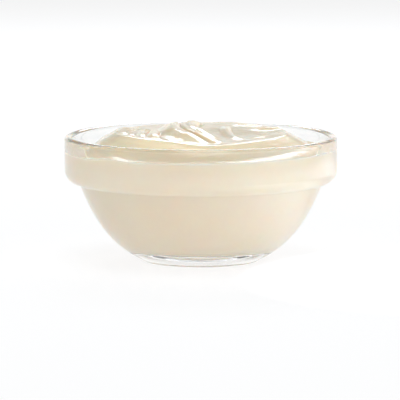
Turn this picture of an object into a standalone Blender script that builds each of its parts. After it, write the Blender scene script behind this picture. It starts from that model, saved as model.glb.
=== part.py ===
"""A small clear glass dip bowl filled with a thick creamy sauce, swirled on top with a spoon.

Metres, +Z up. The origin is the middle of the foot ring, on the table, and the front is towards -Y.
The bowl is one turned piece of pressed glass: a low foot ring, a rounded body, and a thick upright
collar on which such bowls stack. The sauce fills the bowl to just under its rim and rises above it
in a low mound, whose top carries the crests that a spoon left as it went round.
"""

from collections import namedtuple
from math import atan2, cos, degrees, exp, hypot, pi, radians, sin, sqrt

import bmesh
import bpy

MM = 0.001

# Glass bowl: overall sizes
RIM_RADIUS = 40.0 * MM  # outer, straight down the collar
BOWL_HEIGHT = 36.6 * MM
RIM_WALL = 2.3 * MM  # its lip is a half round of this width
COLLAR_BOTTOM = 22.8 * MM  # height of the collar's lower edge
COLLAR_CORNER = 3.9 * MM  # radius of that edge
BODY_TOP_RADIUS = 35.7 * MM  # just under the collar, so that it drops into the rim of a bowl below
FOOT_RADIUS = 17.7 * MM
FOOT_RING = 3.2 * MM  # width of the flat that the bowl stands on
FOOT_EDGE = 0.5 * MM  # rounding where the body meets that flat
FOOT_RECESS = 1.2 * MM  # hollow of the underside inside the ring
FLOOR_RADIUS = 18.5 * MM  # flat inside floor
FLOOR_HEIGHT = 5.2 * MM  # so the base is thick, clear glass
FLOOR_CORNER = 5.5 * MM  # how far the floor runs on before the wall turns up
WALL_LEAN = (4.9 * MM, 14.0 * MM)  # inwards from the lip, and height, of the point that the upper wall aims at
GLASS_STEPS = 64

# Sauce: the line where it meets the glass
GLASS_GAP = 0.3 * MM  # clear of the glass all round
FILL_DROP = 4.4 * MM  # from the rim down to that line
FILL_TILT = 0.45 * MM  # the line is this much higher at the right, and lower at the left
FILL_STEP = 0.7 * MM  # height of a small smear on the glass
STEP_ANGLE = -133.0  # place and half width of that smear, in degrees from +X
STEP_WIDTH = 8.0

# Sauce: the mound inside that line
COVE_SLOPE = -0.16  # the surface dips a little as it leaves the glass
COVE_BEND = 0.081 / MM  # and turns up as distance squared
CONE_DROP = 4.9 * MM  # the flank is a cone that would meet the glass this far below the rim
CONE_SLOPE = 0.47
CONE_START = 3.2 * MM  # nearer to the glass than this there is only the dip
CONE_EDGE = 0.9 * MM  # how softly the flank runs out into the dip
FLANK_SHIFT = 0.2  # the flank stands this far back from the glass, in millimetres, and more or less by
FLANK_WAVES = ((0.9, 1, -pi / 2), (0.4, 2, 0.5), (0.5, 5, 2.0))  # millimetres, waves to a turn, phase
FLANK_REACH = 8 * MM  # distance from the glass at which those are at their full size
MOUND_TOP = 0.69 * MM  # above the rim, in the middle
MOUND_TILT = 0.03  # the top rises towards the back
TOP_ROLL = (0.25, 0.16, -0.10, 0.6)  # a long wave over the top: millimetres, radians a millimetre, phase
MOUND_EDGE = 1.4 * MM  # how softly the top turns into the flank at the back left
SHARP_EDGE = (0.1, -30.0)  # the share of that at the front right, and that place in degrees from +X
MOUND_COLUMNS = 72  # faces across the top from left to right: most crests run front to back
MOUND_ROWS = 38

# One spoon mark: an arc about a centre, in millimetres and degrees anticlockwise from +X, whose
# radius changes from the first to the second. It rises from nothing to its full height over the
# first share of its length and falls over the last. Its inner side is a flat shelf that drops off
# at the first width, its outer side a hollow flank as wide as the second.
Crest = namedtuple("Crest", "centre radii angles rise ends widths")
CREST_EDGE = 0.35  # rounding of a crest's top, in millimetres
CREST_BLEND = 0.25  # how softly crests run into one another, in millimetres
CREST_ROUND = 4.0  # power of the shelf's drop: the more, the flatter the shelf
CREST_FALL = 1.3  # power of the flank's fall: 1 is straight, more is hollow
CRESTS = (
    Crest((0, -2), (24.5, 26.0), (140, 290), 1.1, (0.15, 0.35), (4.0, 3.0)),  # lip round the front left
    Crest((21, -10), (38.5, 38.5), (155, 200), 1.5, (0.3, 0.3), (1.2, 2.5)),  # two small curls
    Crest((21, -12), (35.2, 35.2), (162, 200), 1.7, (0.3, 0.3), (2.0, 2.6)),
    Crest((30, 1), (38.6, 38.8), (152, 229), 2.4, (0.3, 0.3), (3.0, 5.4)),  # three arms of the swirl
    Crest((37, 4), (43.3, 41.6), (157, 226), 2.0, (0.3, 0.3), (2.8, 1.2)),
    Crest((20, 8), (22.3, 26.5), (150, 242), 2.2, (0.3, 0.4), (2.6, 4.8)),
    Crest((60, 2), (53.5, 51.5), (166, 207), 1.0, (0.35, 0.3), (1.6, 2.0)),  # where the spoon was lifted
    Crest((14, 44), (30.0, 30.0), (258, 284), 0.5, (0.3, 0.3), (3.0, 1.5)),  # folds at the right
    Crest((21, 30), (22.0, 22.0), (252, 284), 0.9, (0.3, 0.3), (3.0, 2.5)),
    Crest((8, 0), (13.0, 15.0), (-75, 10), 0.7, (0.3, 0.3), (3.0, 4.0)),
    Crest((4, 1), (19.5, 21.5), (-55, 60), 0.4, (0.3, 0.3), (3.0, 4.0)),
)
MARKS_START = (5.0, 10.0)  # millimetres in from the glass between which the marks reach full height

# One round dip in the top: centre, depth and width in millimetres
Dip = namedtuple("Dip", "centre depth width")
DIPS = (
    Dip((14, -3), 0.5, 9.5),
    Dip((-20.5, -7), 0.9, 3.0),
)


def arc(centre, radius, start, end, steps):
    """Points of an arc in the profile's plane, from start to end degrees."""
    return [
        (
            centre[0] + radius * cos(radians(start + (end - start) * i / steps)),
            centre[1] + radius * sin(radians(start + (end - start) * i / steps)),
        )
        for i in range(steps + 1)
    ]


def bezier(a, b, c, d, steps):
    """Points of a cubic curve from a to d, leaving towards b and arriving from c."""
    points = []
    for i in range(steps + 1):
        t = i / steps
        weights = ((1 - t) ** 3, 3 * t * (1 - t) ** 2, 3 * t * t * (1 - t), t ** 3)
        points.append(tuple(sum(w * p[k] for w, p in zip(weights, (a, b, c, d))) for k in (0, 1)))
    return points


def inner_wall(offset=0.0, steps=8):
    """The hollow's side from the floor up to the lip, moved offset towards the axis."""
    lip = RIM_RADIUS - RIM_WALL
    return bezier(
        (FLOOR_RADIUS, FLOOR_HEIGHT + offset),
        (FLOOR_RADIUS + FLOOR_CORNER, FLOOR_HEIGHT + offset),
        (lip - WALL_LEAN[0] - offset, WALL_LEAN[1]),
        (lip - offset, BOWL_HEIGHT - RIM_WALL / 2),
        steps,
    )


def bowl_profile():
    """From the middle of the inside floor, up and over the rim, and down to the middle underneath."""
    lip = arc((RIM_RADIUS - RIM_WALL / 2, BOWL_HEIGHT - RIM_WALL / 2), RIM_WALL / 2, 180, 0, 6)
    corner_centre = (RIM_RADIUS - COLLAR_CORNER, COLLAR_BOTTOM + COLLAR_CORNER)
    corner = arc(corner_centre, COLLAR_CORNER, 0, -90, 5)
    foot_centre = (FOOT_RADIUS - FOOT_EDGE, FOOT_EDGE)
    foot = arc(foot_centre, FOOT_EDGE, -30, -90, 2)
    body = bezier(
        (BODY_TOP_RADIUS, COLLAR_BOTTOM - 0.2 * MM),
        (BODY_TOP_RADIUS - 3.4 * MM, COLLAR_BOTTOM - 8.9 * MM),
        (foot[0][0] + 10.4 * MM, foot[0][1] + 5.0 * MM),
        foot[0],
        9,
    )
    ring_inside = FOOT_RADIUS - FOOT_EDGE - FOOT_RING
    underside = [(ring_inside, 0.0), (ring_inside - 2 * FOOT_RECESS, FOOT_RECESS), (0.0, FOOT_RECESS)]
    return [(0.0, FLOOR_HEIGHT)] + inner_wall() + lip[1:] + corner + body + foot[1:] + underside


def smooth_max(a, b, blend):
    """The larger of two heights, with the corner between them rounded over blend."""
    share = min(max(0.5 + 0.5 * (a - b) / blend, 0.0), 1.0)
    return b * (1 - share) + a * share + blend * share * (1 - share)


def smooth_step(share):
    """From 0 to 1 with a level start and end."""
    share = min(max(share, 0.0), 1.0)
    return share * share * (3 - 2 * share)


def crest_rise(x, y, crest):
    """How far one spoon mark stands above the mound at a point, all in millimetres."""
    dx, dy = x - crest.centre[0], y - crest.centre[1]
    start, end = crest.angles
    middle = (start + end) / 2
    angle = (degrees(atan2(dy, dx)) - middle + 180) % 360 - 180 + middle
    along = (angle - start) / (end - start)
    side = hypot(dx, dy) - crest.radii[0] - (crest.radii[1] - crest.radii[0]) * along
    height = crest.rise * smooth_step(along / crest.ends[0]) * smooth_step((1 - along) / crest.ends[1])
    run = sqrt(side ** 2 + CREST_EDGE ** 2) - CREST_EDGE
    if side < 0:
        return height * max(1 - (run / crest.widths[0]) ** CREST_ROUND, 0.0)
    return height * max(1 - run / crest.widths[1], 0.0) ** CREST_FALL


def spoon_marks(x, y):
    """How far all the marks together stand above the mound at a point, all in millimetres."""
    marks = 0.0
    for crest in CRESTS:
        marks = smooth_max(marks, crest_rise(x, y, crest), CREST_BLEND)
    return marks


def fill_level(angle):
    """Height of the line where the sauce meets the glass, at an angle in radians from +X."""
    smear = FILL_STEP * exp(-(((degrees(angle) - STEP_ANGLE) / STEP_WIDTH) ** 2))
    return BOWL_HEIGHT - FILL_DROP + FILL_TILT * cos(angle) + smear


def sauce_height(x, y, edge_radius):
    """Height of the sauce's surface at a point."""
    radius, angle = hypot(x, y), atan2(y, x)
    from_glass = edge_radius - radius
    shift = FLANK_SHIFT + sum(size * sin(count * angle + phase) for size, count, phase in FLANK_WAVES)
    inwards = from_glass + shift * MM * min(from_glass / FLANK_REACH, 1.0)
    cove = fill_level(angle) + COVE_SLOPE * inwards + COVE_BEND * inwards ** 2
    cone = BOWL_HEIGHT - CONE_DROP + CONE_SLOPE * max(inwards, CONE_START)
    x_mm, y_mm = x / MM, y / MM
    size, along_x, along_y, phase = TOP_ROLL
    roll = size * cos(along_x * x_mm + along_y * y_mm + phase)
    for dip in DIPS:
        roll -= dip.depth * exp(-((hypot(x_mm - dip.centre[0], y_mm - dip.centre[1]) / dip.width) ** 2))
    top = BOWL_HEIGHT + MOUND_TOP + MOUND_TILT * y + roll * MM
    start, full = MARKS_START
    share = min(max((inwards / MM - start) / (full - start), 0.0), 1.0)
    sharp, place = SHARP_EDGE
    mound_edge = MOUND_EDGE * (1 + sharp - (1 - sharp) * cos(angle - radians(place))) / 2
    mound = -smooth_max(-top, -cone, mound_edge) + spoon_marks(x_mm, y_mm) * share * MM
    return -smooth_max(-mound, -cove, CONE_EDGE)


def wall_radius(level):
    """Radius of the sauce's side at a height."""
    wall = inner_wall(GLASS_GAP)
    under, over = next(pair for pair in zip(wall, wall[1:]) if pair[1][1] >= level)
    return under[0] + (over[0] - under[0]) * (level - under[1]) / (over[1] - under[1])


def turned(name, profile, steps, collection):
    """A solid turned about Z from a profile that runs down its outer side."""
    mesh = bpy.data.meshes.new(name)
    points = [(r, 0.0, z) for r, z in profile]
    mesh.from_pydata(points, [(i, i + 1) for i in range(len(points) - 1)], [])
    solid = bpy.data.objects.new(name, mesh)
    collection.objects.link(solid)
    screw = solid.modifiers.new("turn", "SCREW")
    screw.angle = 2 * pi
    screw.steps = screw.render_steps = steps
    screw.use_merge_vertices = True
    screw.merge_threshold = 0.00001
    screw.use_smooth_shade = True
    return solid


def plain_material(name, colour, roughness, transmission=0.0):
    material = bpy.data.materials.new(name)
    material.use_nodes = True
    shader = material.node_tree.nodes["Principled BSDF"]
    shader.inputs["Base Color"].default_value = (*colour, 1.0)
    shader.inputs["Roughness"].default_value = roughness
    shader.inputs["Metallic"].default_value = 0.0
    shader.inputs["IOR"].default_value = 1.5
    shader.inputs["Transmission Weight"].default_value = transmission
    return material


def make_bowl(collection):
    bowl = turned("bowl", bowl_profile(), GLASS_STEPS, collection)
    bowl.data.materials.append(plain_material("clear glass", (1.0, 1.0, 1.0), 0.02, 1.0))


def make_sauce(collection):
    """A round sheet raised into the mound, its edge then drawn down the wall of the hollow."""
    highest, lowest = fill_level(0.0), fill_level(pi)
    top_radius = wall_radius(highest)
    lean = (top_radius - wall_radius(lowest)) / (highest - lowest)
    form = bmesh.new()
    bmesh.ops.create_grid(form, x_segments=MOUND_COLUMNS, y_segments=MOUND_ROWS, size=1.0)
    for vertex in form.verts:
        x = vertex.co.x * sqrt(1 - vertex.co.y ** 2 / 2)
        y = vertex.co.y * sqrt(1 - vertex.co.x ** 2 / 2)
        edge_radius = top_radius + lean * (fill_level(atan2(y, x)) - highest)
        x, y = edge_radius * x, edge_radius * y
        vertex.co = (x, y, sauce_height(x, y, edge_radius))
    side = [point for point in inner_wall(GLASS_GAP) if point[1] < lowest - 1 * MM]
    edges = [edge for edge in form.edges if edge.is_boundary]
    for radius, z in reversed(side):
        drawn = bmesh.ops.extrude_edge_only(form, edges=edges)["geom"]
        edges = [part for part in drawn if isinstance(part, bmesh.types.BMEdge)]
        for vertex in {corner for edge in edges for corner in edge.verts}:
            share = radius / hypot(vertex.co.x, vertex.co.y)
            vertex.co = (vertex.co.x * share, vertex.co.y * share, z)
    bmesh.ops.contextual_create(form, geom=edges)
    bmesh.ops.recalc_face_normals(form, faces=form.faces)
    mesh = bpy.data.meshes.new("sauce")
    form.to_mesh(mesh)
    form.free()
    mesh.materials.append(plain_material("cream sauce", (0.80, 0.69, 0.54), 0.2))
    mesh.shade_smooth()
    mesh.set_sharp_from_angle(angle=radians(60))
    collection.objects.link(bpy.data.objects.new("sauce", mesh))


def main():
    for existing in list(bpy.data.objects):
        bpy.data.objects.remove(existing)
    collection = bpy.data.collections.new("sauce cup")
    bpy.context.scene.collection.children.link(collection)
    make_bowl(collection)
    make_sauce(collection)


main()
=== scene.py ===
"""Looks of the sauce cup: a clear glass dip bowl, filled with a creamy sauce that a spoon swirled.

Metres, +Z up, the bowl's foot on the floor at the origin, and the viewer towards -Y.
"""

from collections import namedtuple
from math import atan2, cos, degrees, exp, hypot, pi, radians, sin, sqrt

import bmesh
import bpy
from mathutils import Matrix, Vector


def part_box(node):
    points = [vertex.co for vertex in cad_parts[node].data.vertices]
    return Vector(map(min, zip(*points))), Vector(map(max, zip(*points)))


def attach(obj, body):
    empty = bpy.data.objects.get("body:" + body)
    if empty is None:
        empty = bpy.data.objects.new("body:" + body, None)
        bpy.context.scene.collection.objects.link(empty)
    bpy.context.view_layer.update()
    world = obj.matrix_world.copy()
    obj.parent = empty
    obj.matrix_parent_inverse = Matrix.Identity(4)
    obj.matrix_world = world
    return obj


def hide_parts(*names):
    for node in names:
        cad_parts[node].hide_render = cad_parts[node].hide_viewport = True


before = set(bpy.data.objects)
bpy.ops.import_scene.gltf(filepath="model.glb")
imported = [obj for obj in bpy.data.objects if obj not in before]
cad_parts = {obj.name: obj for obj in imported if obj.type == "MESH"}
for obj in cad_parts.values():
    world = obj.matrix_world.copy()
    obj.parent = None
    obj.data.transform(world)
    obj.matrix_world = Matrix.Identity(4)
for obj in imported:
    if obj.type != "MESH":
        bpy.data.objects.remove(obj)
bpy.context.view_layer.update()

MM = 0.001

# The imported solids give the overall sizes
BOWL_LOW, BOWL_HIGH = (Vector(corner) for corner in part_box("bowl"))
RIM_RADIUS = (BOWL_HIGH.x - BOWL_LOW.x) / 2
BOWL_HEIGHT = BOWL_HIGH.z

# Glass bowl, as its solid is made
RIM_WALL = 2.3 * MM  # its lip is a half round of this width
COLLAR_BOTTOM = 22.8 * MM  # height of the collar's lower edge
COLLAR_CORNER = 3.9 * MM  # radius of that edge
BODY_TOP_RADIUS = 35.7 * MM  # just under the collar
BODY_TOP_DROP = 0.2 * MM  # the body starts this far under the collar's lower edge
BODY_TOP_LEAN = (3.4 * MM, 8.9 * MM)  # inwards, and below that edge: where the body's top aims at
BODY_FOOT_LEAN = (10.4 * MM, 5.0 * MM)  # outwards and up from the foot: where it arrives from
FOOT_RADIUS = 17.7 * MM
FOOT_RING = 3.2 * MM  # width of the flat that the bowl stands on
FOOT_EDGE = 0.5 * MM  # rounding where the body meets that flat
FOOT_EDGE_START = -30  # degrees from +X at which that rounding starts
FOOT_RECESS = 1.2 * MM  # hollow of the underside inside the ring
FLOOR_RADIUS = 18.5 * MM  # flat inside floor
FLOOR_HEIGHT = 5.2 * MM
FLOOR_CORNER = 5.5 * MM  # how far the floor runs on before the wall turns up
WALL_LEAN = (4.9 * MM, 14.0 * MM)  # inwards from the lip, and height: where the wall aims at

# Fineness of the glass
GLASS_STEPS = 288  # round the axis
WALL_STEPS = 56  # along the profile
LIP_STEPS = CORNER_STEPS = 24
BODY_STEPS = 48
FOOT_STEPS = 8
GLASS_SHARP = 35  # degrees between two faces over which their edge stays sharp

# Sauce, as its solid is made: the line where it meets the glass
FILL_DROP = 4.4 * MM  # from the rim down to that line
FILL_TILT = 0.45 * MM  # the line is this much higher at the right, and lower at the left
FILL_STEP = 0.7 * MM  # height of a small smear on the glass
STEP_ANGLE = -133.0  # place and half width of that smear, in degrees from +X
STEP_WIDTH = 8.0

# Sauce, as its solid is made: the mound inside that line
COVE_SLOPE = -0.16  # the surface dips a little as it leaves the glass
COVE_BEND = 0.081 / MM  # and turns up as distance squared
CONE_DROP = 4.9 * MM  # the flank is a cone that would meet the glass this far below the rim
CONE_SLOPE = 0.47
CONE_START = 3.2 * MM  # nearer to the glass than this there is only the dip
CONE_EDGE = 0.9 * MM  # how softly the flank runs out into the dip
FLANK_SHIFT = 0.2  # how far back from the glass the flank stands, in millimetres, give or take
FLANK_WAVES = ((0.9, 1, -pi / 2), (0.4, 2, 0.5), (0.5, 5, 2.0))  # millimetres, waves a turn, phase
FLANK_REACH = 8 * MM  # distance from the glass at which those are at their full size
MOUND_TOP = 0.69 * MM  # above the rim, in the middle
MOUND_TILT = 0.03  # the top rises towards the back
TOP_ROLL = (0.25, 0.16, -0.10, 0.6)  # a long wave: millimetres, radians a millimetre, phase
MOUND_EDGE = 1.4 * MM  # how softly the top turns into the flank at the back left
SHARP_EDGE = (0.1, -30.0)  # share of that at the front right, and that place in degrees from +X

# Sauce, finer than its solid
INTO_GLASS = 0.05 * MM  # it reaches just into the glass, so that no air shows between them
UNDER_FILM = 0.1 * MM  # but keeps clear of the inside floor, where the base shows clear glass
BEAD = (0.2 * MM, 0.25 * MM)  # height and width of the thin bead that clings to the glass
SIDE_START = 0.8 * MM  # the side starts this far under the lowest place of the line
SIDE_STEPS = 120  # along the hollow's wall, of which the side has every third point
SIDE_EVERY = 3
MOUND_COLUMNS = 304
MOUND_ROWS = 192
SAUCE_SHARP = 50  # degrees between two faces over which their edge stays sharp

# One spoon mark: an arc about a centre, in millimetres and degrees anticlockwise from +X, whose
# radius changes from the first to the second. It rises from nothing to its full height over the
# first share of its length and falls over the last. Its inner side is a flat shelf that drops off
# at the first width, its outer side a hollow flank as wide as the second.
Crest = namedtuple("Crest", "centre radii angles rise ends widths")
CREST_EDGE = 0.35  # rounding of a crest's top, in millimetres
CREST_BLEND = 0.25  # how softly crests run into one another, in millimetres
CREST_ROUND = 4.0  # power of the shelf's drop: the more, the flatter the shelf
CREST_FALL = 1.3  # power of the flank's fall: 1 is straight, more is hollow
CRESTS = (
    # Lip round the front left, and two small curls
    Crest((0, -2), (24.5, 26.0), (140, 290), 1.1, (0.15, 0.35), (4.0, 3.0)),
    Crest((21, -10), (38.5, 38.5), (155, 200), 1.5, (0.3, 0.3), (1.2, 2.5)),
    Crest((21, -12), (35.2, 35.2), (162, 200), 1.7, (0.3, 0.3), (2.0, 2.6)),
    # Three arms of the swirl, and where the spoon was lifted
    Crest((30, 1), (38.6, 38.8), (152, 229), 2.4, (0.3, 0.3), (3.0, 5.4)),
    Crest((37, 4), (43.3, 41.6), (157, 226), 2.0, (0.3, 0.3), (2.8, 1.2)),
    Crest((20, 8), (22.3, 26.5), (150, 242), 2.2, (0.3, 0.4), (2.6, 4.8)),
    Crest((60, 2), (53.5, 51.5), (166, 207), 1.0, (0.35, 0.3), (1.6, 2.0)),
    # Folds at the right
    Crest((14, 44), (30.0, 30.0), (258, 284), 0.5, (0.3, 0.3), (3.0, 1.5)),
    Crest((21, 30), (22.0, 22.0), (252, 284), 0.9, (0.3, 0.3), (3.0, 2.5)),
    Crest((8, 0), (13.0, 15.0), (-75, 10), 0.7, (0.3, 0.3), (3.0, 4.0)),
    Crest((4, 1), (19.5, 21.5), (-55, 60), 0.4, (0.3, 0.3), (3.0, 4.0)),
)
MARKS_START = (5.0, 10.0)  # millimetres in from the glass over which the marks reach full height

# One round dip in the top: centre, depth and width in millimetres
Dip = namedtuple("Dip", "centre depth width")
DIPS = (
    Dip((14, -3), 0.5, 9.5),
    Dip((-20.5, -7), 0.9, 3.0),
)

# Unevenness of a surface: waves to the metre, their detail, and the bump that they make
Waves = namedtuple("Waves", "scale detail strength depth")

# Glass
GLASS_TINT = (0.96, 0.965, 0.96)
GLASS_IOR = 1.5
GLASS_WAVES = Waves(45.0, 1.0, 0.35, 0.6 * MM)  # of a pressed wall
GLASS_SHADE = 0.9  # share of a lamp's light that the glass lets through to what it holds

# Sauce
TOP_PAINTED_SHADE_TONES = ((0.93, 0.76, 0.525), (0.96, 0.80, 0.585))  # the mixing patches' two tones on upward-facing sauce, painted more golden as painted shade of its folds
SIDE_TONES = ((0.95, 0.80, 0.65), (0.97, 0.83, 0.68))  # and on the side against the glass, the sauce's plainer tones
TONE_PATCHES = (70.0, 3.0)  # patches to the metre, and how much detail they have
TONE_STOPS = (0.3, 0.7)  # of the patches' pattern, at which each tone is pure
PAINTED_SHADE_FACING = (0.0, 0.4)  # of the surface's upward part, between which the side tones turn into the painted-shade top tones
SAUCE_IOR = 1.45
SAUCE_WAVES = Waves(200.0, 2.0, 0.5, 0.5 * MM)
SAUCE_GLOSS = 0.16  # roughness
SAUCE_SCATTER = 1.0
SCATTER_DEPTH = 2.0 * MM
SCATTER_TINT = (1.0, 0.75, 0.55)

# Studio walls, as radiance: bright and low at the back, bright and high on the viewer's side, and
# dark above at the left
WALL_BACK = 1.1
WALL_FRONT = 2.75
WALL_TOP = (0.13, 0.3)  # heights, as the upward part of a direction, over which a wall ends
FRONT_TOP = (0.3, 0.5)
BACK_TO_FRONT = (0.3, -0.5)  # the Y part of a direction between which back turns into front
ABOVE_LEFT = 0.0
ABOVE_RIGHT = 0.3
LEFT_TO_RIGHT = (-0.7, 0.5)  # the X part of a direction between which left turns into right

# Floor: a white sheet that also glows, with two round pools of brighter light at the right, which
# light the right of the body from below and the right end of the collar
Pool = namedtuple("Pool", "middle reach light")  # reach: distances at which it starts and is full
FLOOR_TONE = 0.24
FLOOR_GLOW = (0.81, 0.81, 0.81)
NEAR_POOL = Pool((0.078, -0.040, 0.0), (0.068, 0.02), (2.0, 2.1, 2.3))
FAR_POOL = Pool((0.22, 0.11, 0.0), (0.14, 0.04), (1.7, 1.8, 2.0))
STAGE_RADIUS = 6.0
STAGE_SEGMENTS = 96
STAGE_DROP = 0.02 * MM  # under the foot

# Lamps: a wide one behind, whose glare runs along the wet surface, one overhead, and a weak one
Softbox = namedtuple("Softbox", "place size radiance tint")
BACK = Softbox((0.02, 0.86, 0.53), (0.5, 0.24), 7.0, (0.93, 1.0, 1.1))
SIDE = Softbox((0.35, 0.9, 0.5), (0.3, 0.2), 0.8, (0.95, 1.0, 1.06))
OVER = Softbox((0.0, -0.1, 0.95), (0.5, 0.5), 3.6, (0.95, 1.0, 1.06))

# Camera: a long lens a little above the rim
SENSOR_MM = 36.0
LENS_MM = 279.0
CAMERA_DISTANCE = 0.911
CAMERA_ELEVATION = 7.34
CAMERA_TARGET = Vector((-0.24 * MM, 0.0, 17.4 * MM))
CAMERA_CLIP = (0.05, 50.0)

GLASS_BOUNCES = 8  # reflections that a ray may make on its way through both walls and the sauce


# ---------------------------------------------------------------- shapes shared with the solids

def arc(centre, radius, start, end, steps):
    """Points of an arc in the profile's plane, from start to end degrees."""
    return [
        (
            centre[0] + radius * cos(radians(start + (end - start) * i / steps)),
            centre[1] + radius * sin(radians(start + (end - start) * i / steps)),
        )
        for i in range(steps + 1)
    ]


def bezier(a, b, c, d, steps):
    """Points of a cubic curve from a to d, leaving towards b and arriving from c."""
    points = []
    for i in range(steps + 1):
        t = i / steps
        weights = ((1 - t) ** 3, 3 * t * (1 - t) ** 2, 3 * t * t * (1 - t), t ** 3)
        points.append(tuple(sum(w * p[k] for w, p in zip(weights, (a, b, c, d))) for k in (0, 1)))
    return points


def inner_wall(offset, steps):
    """The hollow's side from the floor up to the lip, moved offset towards the axis."""
    lip = RIM_RADIUS - RIM_WALL
    return bezier(
        (FLOOR_RADIUS, FLOOR_HEIGHT + offset),
        (FLOOR_RADIUS + FLOOR_CORNER, FLOOR_HEIGHT + offset),
        (lip - WALL_LEAN[0] - offset, WALL_LEAN[1]),
        (lip - offset, BOWL_HEIGHT - RIM_WALL / 2),
        steps,
    )


def bowl_profile():
    """From the middle of the inside floor, over the rim, and down to the middle underneath."""
    lip_centre = (RIM_RADIUS - RIM_WALL / 2, BOWL_HEIGHT - RIM_WALL / 2)
    lip = arc(lip_centre, RIM_WALL / 2, 180, 0, LIP_STEPS)
    corner_centre = (RIM_RADIUS - COLLAR_CORNER, COLLAR_BOTTOM + COLLAR_CORNER)
    corner = arc(corner_centre, COLLAR_CORNER, 0, -90, CORNER_STEPS)
    foot_centre = (FOOT_RADIUS - FOOT_EDGE, FOOT_EDGE)
    foot = arc(foot_centre, FOOT_EDGE, FOOT_EDGE_START, -90, FOOT_STEPS)
    body = bezier(
        (BODY_TOP_RADIUS, COLLAR_BOTTOM - BODY_TOP_DROP),
        (BODY_TOP_RADIUS - BODY_TOP_LEAN[0], COLLAR_BOTTOM - BODY_TOP_LEAN[1]),
        (foot[0][0] + BODY_FOOT_LEAN[0], foot[0][1] + BODY_FOOT_LEAN[1]),
        foot[0],
        BODY_STEPS,
    )
    ring_inside = FOOT_RADIUS - FOOT_EDGE - FOOT_RING
    recess_start = (ring_inside - 2 * FOOT_RECESS, FOOT_RECESS)
    underside = [(ring_inside, 0.0), recess_start, (0.0, FOOT_RECESS)]
    inside = [(0.0, FLOOR_HEIGHT)] + inner_wall(0.0, WALL_STEPS)
    return inside + lip[1:] + corner + body + foot[1:] + underside


def smooth_max(a, b, blend):
    """The larger of two heights, with the corner between them rounded over blend."""
    share = min(max(0.5 + 0.5 * (a - b) / blend, 0.0), 1.0)
    return b * (1 - share) + a * share + blend * share * (1 - share)


def smooth_step(share):
    """From 0 to 1 with a level start and end."""
    share = min(max(share, 0.0), 1.0)
    return share * share * (3 - 2 * share)


def crest_rise(x, y, crest):
    """How far one spoon mark stands above the mound at a point, all in millimetres."""
    dx, dy = x - crest.centre[0], y - crest.centre[1]
    start, end = crest.angles
    middle = (start + end) / 2
    angle = (degrees(atan2(dy, dx)) - middle + 180) % 360 - 180 + middle
    along = (angle - start) / (end - start)
    side = hypot(dx, dy) - crest.radii[0] - (crest.radii[1] - crest.radii[0]) * along
    rising, falling = along / crest.ends[0], (1 - along) / crest.ends[1]
    height = crest.rise * smooth_step(rising) * smooth_step(falling)
    run = sqrt(side ** 2 + CREST_EDGE ** 2) - CREST_EDGE
    if side < 0:
        return height * max(1 - (run / crest.widths[0]) ** CREST_ROUND, 0.0)
    return height * max(1 - run / crest.widths[1], 0.0) ** CREST_FALL


def fill_level(angle):
    """Height of the line where the sauce meets the glass, at an angle in radians from +X."""
    smear = FILL_STEP * exp(-(((degrees(angle) - STEP_ANGLE) / STEP_WIDTH) ** 2))
    return BOWL_HEIGHT - FILL_DROP + FILL_TILT * cos(angle) + smear


def spoon_marks(x, y):
    """How far all the marks together stand above the mound at a point, all in millimetres."""
    marks = 0.0
    for crest in CRESTS:
        marks = smooth_max(marks, crest_rise(x, y, crest), CREST_BLEND)
    return marks


def sauce_height(x, y, edge_radius):
    """Height of the sauce's surface at a point."""
    radius, angle = hypot(x, y), atan2(y, x)
    from_glass = edge_radius - radius
    waves = (size * sin(count * angle + phase) for size, count, phase in FLANK_WAVES)
    shift = FLANK_SHIFT + sum(waves)
    inwards = from_glass + shift * MM * min(from_glass / FLANK_REACH, 1.0)
    cove = fill_level(angle) + COVE_SLOPE * inwards + COVE_BEND * inwards ** 2
    cone = BOWL_HEIGHT - CONE_DROP + CONE_SLOPE * max(inwards, CONE_START)
    x_mm, y_mm = x / MM, y / MM
    size, along_x, along_y, phase = TOP_ROLL
    roll = size * cos(along_x * x_mm + along_y * y_mm + phase)
    for dip in DIPS:
        away = hypot(x_mm - dip.centre[0], y_mm - dip.centre[1])
        roll -= dip.depth * exp(-((away / dip.width) ** 2))
    top = BOWL_HEIGHT + MOUND_TOP + MOUND_TILT * y + roll * MM
    start, full = MARKS_START
    share = min(max((inwards / MM - start) / (full - start), 0.0), 1.0)
    sharp, place = SHARP_EDGE
    mound_edge = MOUND_EDGE * (1 + sharp - (1 - sharp) * cos(angle - radians(place))) / 2
    mound = -smooth_max(-top, -cone, mound_edge) + spoon_marks(x_mm, y_mm) * share * MM
    bead, width = BEAD
    return -smooth_max(-mound, -cove, CONE_EDGE) + bead * exp(-((from_glass / width) ** 2))


# ---------------------------------------------------------------- materials

def new_material(name):
    """A material, its nodes and links, its Principled shader and its output."""
    material = bpy.data.materials.new(name)
    material.use_nodes = True
    nodes, links = material.node_tree.nodes, material.node_tree.links
    return material, nodes, links, nodes["Principled BSDF"], nodes["Material Output"]


def feed(links, value, socket):
    """Give a socket its value, which is another socket or a constant."""
    if isinstance(value, bpy.types.NodeSocket):
        links.new(value, socket)
    else:
        socket.default_value = value


def map_range(nodes, links, value, start, end):
    """Two pairs of numbers or sockets: the value's range, and what it becomes."""
    node = nodes.new("ShaderNodeMapRange")
    links.new(value, node.inputs["Value"])
    for name, limit in zip(("From Min", "From Max", "To Min", "To Max"), (*start, *end)):
        feed(links, limit, node.inputs[name])
    return node.outputs["Result"]


def colour_mix(nodes, links, share, first, second):
    """The first colour where share is 0, the second where it is 1: sockets or constants."""
    mix = nodes.new("ShaderNodeMix")
    mix.data_type = "RGBA"
    links.new(share, mix.inputs["Factor"])
    sockets = [socket for socket in mix.inputs if socket.type == "RGBA"]
    for colour, socket in zip((first, second), sockets):
        feed(links, colour, socket)
    return next(socket for socket in mix.outputs if socket.type == "RGBA")


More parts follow.
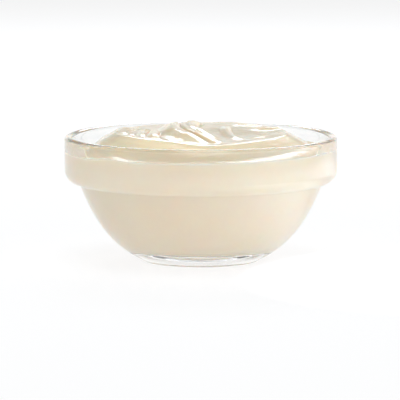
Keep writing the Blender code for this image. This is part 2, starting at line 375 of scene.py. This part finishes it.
def noise(nodes, links, scale, detail):
    """Noise over the object's own space."""
    where = nodes.new("ShaderNodeTexCoord")
    pattern = nodes.new("ShaderNodeTexNoise")
    pattern.inputs["Scale"].default_value = scale
    pattern.inputs["Detail"].default_value = detail
    links.new(where.outputs["Object"], pattern.inputs["Vector"])
    return pattern.outputs["Fac"]


def add_waves(nodes, links, shader, waves):
    bump = nodes.new("ShaderNodeBump")
    bump.inputs["Strength"].default_value = waves.strength
    bump.inputs["Distance"].default_value = waves.depth
    links.new(noise(nodes, links, waves.scale, waves.detail), bump.inputs["Height"])
    links.new(bump.outputs["Normal"], shader.inputs["Normal"])


def glass_material():
    """Clear glass with the faint waves of a pressed wall. Lamps shine through to what it holds."""
    material, nodes, links, shader, output = new_material("clear pressed glass")
    shader.inputs["Base Color"].default_value = (*GLASS_TINT, 1.0)
    shader.inputs["Roughness"].default_value = 0.0
    shader.inputs["IOR"].default_value = GLASS_IOR
    shader.inputs["Transmission Weight"].default_value = 1.0
    add_waves(nodes, links, shader, GLASS_WAVES)
    path = nodes.new("ShaderNodeLightPath")
    clear = nodes.new("ShaderNodeBsdfTransparent")
    clear.inputs["Color"].default_value = (GLASS_SHADE, GLASS_SHADE, GLASS_SHADE, 1.0)
    mix = nodes.new("ShaderNodeMixShader")
    links.new(path.outputs["Is Shadow Ray"], mix.inputs["Fac"])
    links.new(shader.outputs["BSDF"], mix.inputs[1])
    links.new(clear.outputs["BSDF"], mix.inputs[2])
    links.new(mix.outputs["Shader"], output.inputs["Surface"])
    return material


def sauce_material():
    """Thick egg-and-oil sauce: glossy, light goes a little way in, its upward faces painted more
    golden as painted shade, and paler on its side against the glass.
    """
    material, nodes, links, shader, _ = new_material("cream sauce")
    patches = noise(nodes, links, *TONE_PATCHES)
    facing = nodes.new("ShaderNodeNewGeometry")
    upright = nodes.new("ShaderNodeSeparateXYZ")
    links.new(facing.outputs["True Normal"], upright.inputs["Vector"])
    colours = []
    for tones in (SIDE_TONES, TOP_PAINTED_SHADE_TONES):
        ramp = nodes.new("ShaderNodeValToRGB")
        for element, place, colour in zip(ramp.color_ramp.elements, TONE_STOPS, tones):
            element.position = place
            element.color = (*colour, 1.0)
        links.new(patches, ramp.inputs["Fac"])
        colours.append(ramp.outputs["Color"])
    # painted shade: the more the surface faces up, the more it takes the golden top tones
    share = map_range(nodes, links, upright.outputs["Z"], PAINTED_SHADE_FACING, (0.0, 1.0))
    links.new(colour_mix(nodes, links, share, *colours), shader.inputs["Base Color"])
    add_waves(nodes, links, shader, SAUCE_WAVES)
    shader.inputs["Roughness"].default_value = SAUCE_GLOSS
    shader.inputs["IOR"].default_value = SAUCE_IOR
    shader.inputs["Subsurface Weight"].default_value = SAUCE_SCATTER
    shader.inputs["Subsurface Radius"].default_value = SCATTER_TINT
    shader.inputs["Subsurface Scale"].default_value = SCATTER_DEPTH
    return material


# ---------------------------------------------------------------- pieces

def turned(name, profile, steps):
    """A piece turned about Z from a profile that runs down its outer side, baked to a mesh."""
    mesh = bpy.data.meshes.new(name)
    points = [(r, 0.0, z) for r, z in profile]
    mesh.from_pydata(points, [(i, i + 1) for i in range(len(points) - 1)], [])
    piece = bpy.data.objects.new(name, mesh)
    bpy.context.scene.collection.objects.link(piece)
    screw = piece.modifiers.new("turn", "SCREW")
    screw.angle = 2 * pi
    screw.steps = screw.render_steps = steps
    screw.use_merge_vertices = True
    screw.merge_threshold = 0.001 * MM
    screw.use_smooth_shade = True
    evaluated = piece.evaluated_get(bpy.context.evaluated_depsgraph_get())
    piece.data = bpy.data.meshes.new_from_object(evaluated)
    piece.modifiers.clear()
    return piece


def make_glass():
    glass = turned("glass_bowl", bowl_profile(), GLASS_STEPS)
    glass.data.set_sharp_from_angle(angle=radians(GLASS_SHARP))
    glass.data.materials.append(glass_material())
    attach(glass, "root")
    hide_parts("bowl")


def wall_radius(level):
    """Radius of the sauce's side at a height."""
    wall = inner_wall(-INTO_GLASS, SIDE_STEPS)
    under, over = next(pair for pair in zip(wall, wall[1:]) if pair[1][1] >= level)
    return under[0] + (over[0] - under[0]) * (level - under[1]) / (over[1] - under[1])


def make_sauce():
    """A round sheet raised into the mound, its edge then drawn down the wall of the hollow."""
    highest, lowest = fill_level(0.0), fill_level(pi)
    top_radius = wall_radius(highest)
    lean = (top_radius - wall_radius(lowest)) / (highest - lowest)
    form = bmesh.new()
    bmesh.ops.create_grid(form, x_segments=MOUND_COLUMNS, y_segments=MOUND_ROWS, size=1.0)
    for vertex in form.verts:
        x = vertex.co.x * sqrt(1 - vertex.co.y ** 2 / 2)
        y = vertex.co.y * sqrt(1 - vertex.co.x ** 2 / 2)
        edge_radius = top_radius + lean * (fill_level(atan2(y, x)) - highest)
        x, y = edge_radius * x, edge_radius * y
        vertex.co = (x, y, sauce_height(x, y, edge_radius))
    bottom, under = FLOOR_HEIGHT + UNDER_FILM, lowest - SIDE_START
    wall = inner_wall(-INTO_GLASS, SIDE_STEPS)
    side = [point for point in wall if bottom < point[1] < under][::SIDE_EVERY]
    edge = [vertex for vertex in form.verts if vertex.is_boundary]
    ring = sorted(edge, key=lambda vertex: atan2(vertex.co.y, vertex.co.x))
    for radius, z in reversed(side):
        above, ring = ring, []
        for vertex in above:
            share = radius / hypot(vertex.co.x, vertex.co.y)
            ring.append(form.verts.new((vertex.co.x * share, vertex.co.y * share, z)))
        for i in range(len(ring)):
            form.faces.new((above[i - 1], above[i], ring[i], ring[i - 1]))
    form.faces.new(ring)
    bmesh.ops.recalc_face_normals(form, faces=form.faces)
    mesh = bpy.data.meshes.new("sauce_fill")
    form.to_mesh(mesh)
    form.free()
    mesh.shade_smooth()
    mesh.set_sharp_from_angle(angle=radians(SAUCE_SHARP))
    mesh.materials.append(sauce_material())
    sauce = bpy.data.objects.new("sauce_fill", mesh)
    bpy.context.scene.collection.objects.link(sauce)
    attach(sauce, "root")
    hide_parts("sauce")


# ---------------------------------------------------------------- studio

def make_floor():
    """A matt white sheet. It has no sheen, so it doesn't mirror the walls towards the viewer."""
    mesh = bpy.data.meshes.new("floor")
    form = bmesh.new()
    bmesh.ops.create_circle(form, cap_ends=True, segments=STAGE_SEGMENTS, radius=STAGE_RADIUS)
    form.to_mesh(mesh)
    form.free()
    floor = bpy.data.objects.new("floor", mesh)
    floor.location.z = -STAGE_DROP
    bpy.context.scene.collection.objects.link(floor)
    material, nodes, links, shader, _ = new_material("white floor")
    shader.inputs["Base Color"].default_value = (FLOOR_TONE, FLOOR_TONE, FLOOR_TONE, 1.0)
    shader.inputs["Roughness"].default_value = 1.0
    shader.inputs["Specular IOR Level"].default_value = 0.0
    where = nodes.new("ShaderNodeTexCoord")
    glow = (*FLOOR_GLOW, 1.0)
    for pool in (NEAR_POOL, FAR_POOL):
        away = nodes.new("ShaderNodeVectorMath")
        away.operation = "DISTANCE"
        away.inputs[1].default_value = pool.middle
        links.new(where.outputs["Object"], away.inputs[0])
        share = map_range(nodes, links, away.outputs["Value"], pool.reach, (0.0, 1.0))
        glow = colour_mix(nodes, links, share, glow, (*pool.light, 1.0))
    links.new(glow, shader.inputs["Emission Color"])
    shader.inputs["Emission Strength"].default_value = 1.0
    floor.data.materials.append(material)


def make_world():
    """Studio round the bowl: bright walls, higher on the viewer's side, and darker above them."""
    world = bpy.data.worlds.new("studio")
    bpy.context.scene.world = world
    world.use_nodes = True
    nodes, links = world.node_tree.nodes, world.node_tree.links
    direction = nodes.new("ShaderNodeTexCoord")
    way = nodes.new("ShaderNodeSeparateXYZ")
    links.new(direction.outputs["Generated"], way.inputs["Vector"])
    wall, low, high = (
        map_range(nodes, links, way.outputs["Y"], BACK_TO_FRONT, limits)
        for limits in ((WALL_BACK, WALL_FRONT), *zip(WALL_TOP, FRONT_TOP))
    )
    above = map_range(nodes, links, way.outputs["X"], LEFT_TO_RIGHT, (ABOVE_LEFT, ABOVE_RIGHT))
    radiance = map_range(nodes, links, way.outputs["Z"], (low, high), (wall, above))
    nodes["Background"].inputs["Color"].default_value = (1.0, 1.0, 1.0, 1.0)
    links.new(radiance, nodes["Background"].inputs["Strength"])


def make_softbox(name, softbox):
    """A rectangular lamp of the given brightness, aimed at the rim's middle."""
    width, depth = softbox.size
    lamp = bpy.data.lights.new(name, "AREA")
    lamp.color = softbox.tint
    lamp.shape = "RECTANGLE"
    lamp.size, lamp.size_y = width, depth
    lamp.energy = softbox.radiance * pi * width * depth
    aim = Vector((0.0, 0.0, BOWL_HEIGHT)) - Vector(softbox.place)
    piece = bpy.data.objects.new(name, lamp)
    piece.location = softbox.place
    piece.rotation_euler = aim.to_track_quat("-Z", "Y").to_euler()
    bpy.context.scene.collection.objects.link(piece)


def make_lights():
    make_softbox("back_light", BACK)
    make_softbox("side_light", SIDE)
    make_softbox("top_light", OVER)


def make_camera():
    """A viewer a little above the rim, looking slightly down."""
    lens = bpy.data.cameras.new("camera")
    lens.sensor_width = SENSOR_MM
    lens.lens = LENS_MM
    lens.clip_start, lens.clip_end = CAMERA_CLIP
    camera = bpy.data.objects.new("camera", lens)
    lift = radians(CAMERA_ELEVATION)
    camera.location = CAMERA_TARGET + CAMERA_DISTANCE * Vector((0.0, -cos(lift), sin(lift)))
    camera.rotation_euler = (pi / 2 - lift, 0.0, 0.0)
    bpy.context.scene.collection.objects.link(camera)
    bpy.context.scene.camera = camera


make_glass()
make_sauce()
make_floor()
make_world()
make_lights()
make_camera()
bpy.context.scene.view_settings.view_transform = "Standard"
bpy.context.scene.cycles.glossy_bounces = GLASS_BOUNCES
